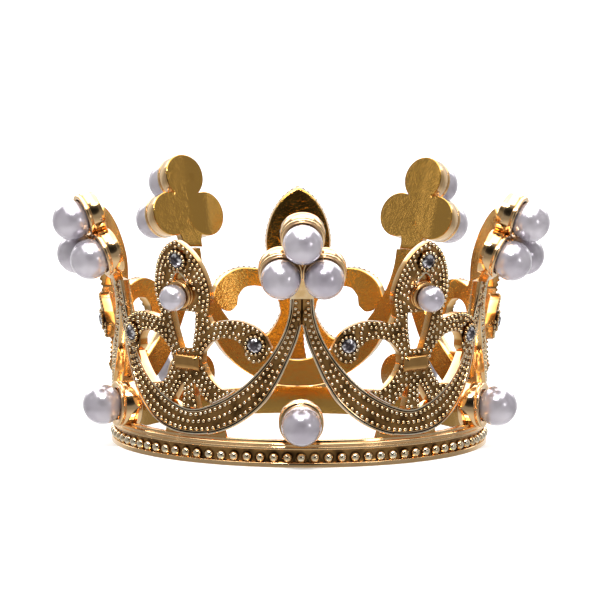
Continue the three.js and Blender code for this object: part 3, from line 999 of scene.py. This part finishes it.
def gem():
    """A round brilliant, with its table, stars, kites and girdle above and its mains on the foiled back."""
    def ring(radius, height, turn, count=8):
        angles = (np.arange(count) + turn) * 2 * math.pi / count
        return np.column_stack([radius * np.cos(angles), radius * np.sin(angles), np.full(count, height)])

    r = STONE_RADIUS
    base = 0.2
    points = np.vstack([
        ring(0.48 * r, base + 0.42, 0.0), ring(0.74 * r, base + 0.29, 0.5), ring(r, base + 0.05, 0.0, 16),
        ring(r, base, 0.0, 16), ring(0.5 * r, base - 0.38, 0.25, 8), [(0, 0, base - 0.7)],
    ])
    table, star, top, low, mid, point = 0, 8, 16, 32, 48, 56
    faces = [[table + i for i in range(8)]]
    for i in range(8):
        j = (i + 1) % 8
        faces.append([table + i, star + i, table + j])
        faces.append([table + i, star + i - 1 if i else star + 7, top + 2 * i, star + i])
        faces.append([star + i, top + 2 * i, top + 2 * i + 1])
        faces.append([star + i, top + 2 * i + 1, top + (2 * i + 2) % 16])
    for i in range(16):
        j = (i + 1) % 16
        faces.append([top + i, low + i, low + j, top + j])
    crown_faces = len(faces)
    for i in range(8):
        j = (i + 1) % 8
        faces.append([low + 2 * i, mid + i, low + 2 * i + 1])
        faces.append([low + 2 * i + 1, mid + i, mid + j, low + (2 * i + 2) % 16])
        faces.append([mid + i, point, mid + j])
    shells = Shells()
    # Each point's level of painted reflection on the facets: a dark table, bright stars and every fourth
    # girdle point bright.
    shade = np.full(len(points), 0.1)
    shade[star:top] = 0.75
    shade[top:low:4] = 0.8
    materials = [0] * crown_faces + [1] * (len(faces) - crown_faces)
    shells.add(points, faces, materials, shade)
    return shells


# Assembly
def add_piece(name, shells, slots, matrix, flat=False):
    scaled = matrix.copy()
    scaled.translation = matrix.translation * MM
    piece = bpy.data.objects.new(f"made_{name}", shells.mesh(f"made_{name}", slots, scaled, flat))
    bpy.context.scene.collection.objects.link(piece)
    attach(piece, "root")
    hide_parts(name)


large_pearl = pearl(LARGE_PEARL)
small_pearl = pearl(SMALL_PEARL)
stone = gem()
trefoil = trefoil_finial()
fleur = fleur_de_lis()
arches = {}

for k in range(PANELS):
    number = k + 1
    angle = k * PANEL_ANGLE
    seam_before = SEAMS[k - 1] if k else -FRONT_SEAM
    left_end = math.radians(angle - seam_before) * RING_RADIUS - SEAM_GAP / 2
    right_end = math.radians(SEAMS[k] - angle) * RING_RADIUS - SEAM_GAP / 2
    ends = (round(left_end, 3), round(right_end, 3))
    if ends not in arches:
        arches[ends] = arch_panel(left_end, right_end)
    panel = Matrix.Rotation(math.radians(angle), 4, "Z")
    stand = panel @ finial_stand(number)
    lily = Matrix.Rotation(math.radians(angle + PANEL_ANGLE / 2), 4, "Z")
    band = band_segment(left_end, right_end, angle)
    add_piece(f"base_band_segment_{number}", band, GOLDS, panel)
    add_piece(f"arch_panel_{number}", arches[ends], GOLDS, panel)
    add_piece(f"trefoil_finial_{number}", trefoil, GOLDS, stand)
    add_piece(f"fleur_de_lis_{number}", fleur, GOLDS, lily)
    add_piece(f"base_pearl_{number}", large_pearl, [PEARL], panel @ base_frame())
    for side, place in FINIAL_PEARLS.items():
        spot = stand @ finial_frame() @ Matrix.Translation(place)
        add_piece(f"finial_{side}_pearl_{number}", large_pearl, [PEARL], spot)
    add_piece(f"fleur_pearl_{number}", small_pearl, [PEARL], lily @ fleur_pearl_frame())
    for side, (u, z) in STONES.items():
        spot = lily @ frame_on(fleur_surface, u, z)
        add_piece(f"fleur_{side}_stone_{number}", stone, [CRYSTAL, FOIL], spot, flat=True)


# Floor, lights and camera. The floor and the lights are in metres.
LIGHT_AIM = Vector((0, 0, 0.02))
LIGHTS = {
    "overhead": ((0.0, 0.0, 0.6), (0.9, 0.85), 6.0),
    "key": ((-0.04, -0.40, 0.50), (0.22, 0.11), 2.3),
    "left_strip": ((-0.669, -0.084, 0.303), (0.03, 0.3), 0.04),
    "right_strip": ((0.676, -0.011, 0.303), (0.03, 0.3), 0.04),
    "right_glint": ((0.43, -0.42, 0.13), (0.10, 0.14), 0.14),
    "back_panel": ((0.0, 0.62, 0.46), (1.5, 0.4), 4.5),
}
SWEEP = [(0.0, 0.26), (0.45, 0.3), (0.7, 0.6), (0.95, 0.95), (1.0, 1.0)]
PAPER = [(0.0, 0.4), (0.35, 0.4), (0.75, 1.0), (1.0, 1.0)]
PHOTOGRAPHER = [(0.82, 1.0), (0.88, 0.85), (0.93, 0.15), (1.0, 0.03)]


def make_floor():
    mesh = bpy.data.meshes.new("floor")
    half = 8.0
    corners = [(-half, -half, 0), (half, -half, 0), (half, half, 0), (-half, half, 0)]
    mesh.from_pydata(corners, [], [(0, 1, 2, 3)])
    floor = bpy.data.objects.new("floor", mesh)
    bpy.context.scene.collection.objects.link(floor)
    material, nodes, links, shader = new_material("floor_paper")
    coordinates = nodes.new("ShaderNodeTexCoord")
    stops = [(0.3, (0.90, 0.90, 0.90)), (0.7, (0.93, 0.93, 0.93))]
    tint_by_noise(nodes, links, coordinates, 300, 3, stops)
    shader.inputs["Roughness"].default_value = 0.7
    shader.inputs["Specular IOR Level"].default_value = 0.2
    shader.inputs["Emission Color"].default_value = (1, 1, 1, 1)
    shader.inputs["Emission Strength"].default_value = 0.25
    mesh.materials.append(material)
    floor.visible_glossy = False


def area_light(name, location, size, power):
    light = bpy.data.lights.new(name, "AREA")
    light.shape = "RECTANGLE"
    light.size, light.size_y = size
    light.energy = power
    lamp = bpy.data.objects.new(name, light)
    bpy.context.scene.collection.objects.link(lamp)
    lamp.location = location
    lamp.rotation_euler = (LIGHT_AIM - Vector(location)).to_track_quat("-Z", "Y").to_euler()


def make_world():
    """A soft studio: bright behind and below, dim elsewhere, and dark where the photographer stands."""
    world = bpy.data.worlds.new("studio")
    bpy.context.scene.world = world
    world.use_nodes = True
    nodes, links = world.node_tree.nodes, world.node_tree.links
    background = nodes["Background"]
    coordinates = nodes.new("ShaderNodeTexCoord")

    def shade_towards(direction, stops):
        """A brightness that depends on how far a ray points in the direction."""
        towards = node(nodes, "ShaderNodeVectorMath", operation="DOT_PRODUCT")
        towards.inputs[1].default_value = Vector(direction)
        links.new(coordinates.outputs["Generated"], towards.inputs[0])
        place = node(nodes, "ShaderNodeMapRange")
        place.inputs["From Min"].default_value = -1.0
        links.new(towards.outputs["Value"], place.inputs["Value"])
        shade = ramp(nodes, [((dot + 1) / 2, (level, level, level)) for dot, level in stops])
        links.new(place.outputs["Result"], shade.inputs["Fac"])
        return shade.outputs["Color"]

    total = shade_towards((0, 0.95, 0.31), SWEEP)
    paper = shade_towards((0, 0, -1), PAPER)
    photographer = shade_towards((0, -0.94, 0.342), PHOTOGRAPHER)
    for shade in (photographer, paper):
        both = node(nodes, "ShaderNodeMix", data_type="RGBA", blend_type="MULTIPLY")
        both.inputs["Factor"].default_value = 1.0
        links.new(total, both.inputs["A"])
        links.new(shade, both.inputs["B"])
        total = both.outputs["Result"]
    links.new(total, background.inputs["Color"])
    background.inputs["Strength"].default_value = 2.75


VIEW_DISTANCE = 3000.0
VIEW_RISE = 8.282
VIEW_TURN = -0.632
VIEW_ROLL = 0.321
VIEW_TARGET = Vector((0, 0, 17))
VIEW_SPAN = 89.6325
VIEW_LIFT = 4.0206
VIEW_SLIDE = 0.0378
SENSOR = 36


def make_camera():
    """A long lens far away, at the height and turn of the reference view."""
    rise, turn = math.radians(VIEW_RISE), math.radians(VIEW_TURN)
    backward = Vector((math.sin(turn) * math.cos(rise), -math.cos(turn) * math.cos(rise), math.sin(rise)))
    right = Vector((0, 0, 1)).cross(backward).normalized()
    up = backward.cross(right)
    roll = Matrix.Rotation(math.radians(VIEW_ROLL), 3, backward)
    right, up = roll @ right, roll @ up
    aim = VIEW_TARGET + up * VIEW_LIFT + right * VIEW_SLIDE
    axes = Matrix((right, up, backward)).transposed().to_4x4()
    lens = bpy.data.cameras.new("camera")
    lens.sensor_width = SENSOR
    lens.lens = SENSOR * VIEW_DISTANCE / VIEW_SPAN
    lens.clip_start = 0.1
    lens.clip_end = 60
    camera = bpy.data.objects.new("camera", lens)
    bpy.context.scene.collection.objects.link(camera)
    camera.matrix_world = Matrix.Translation((aim + backward * VIEW_DISTANCE) * MM) @ axes
    bpy.context.scene.camera = camera


make_floor()
make_world()
for name, (location, size, power) in LIGHTS.items():
    area_light(name, location, size, power)
make_camera()
bpy.context.scene.view_settings.view_transform = "Standard"
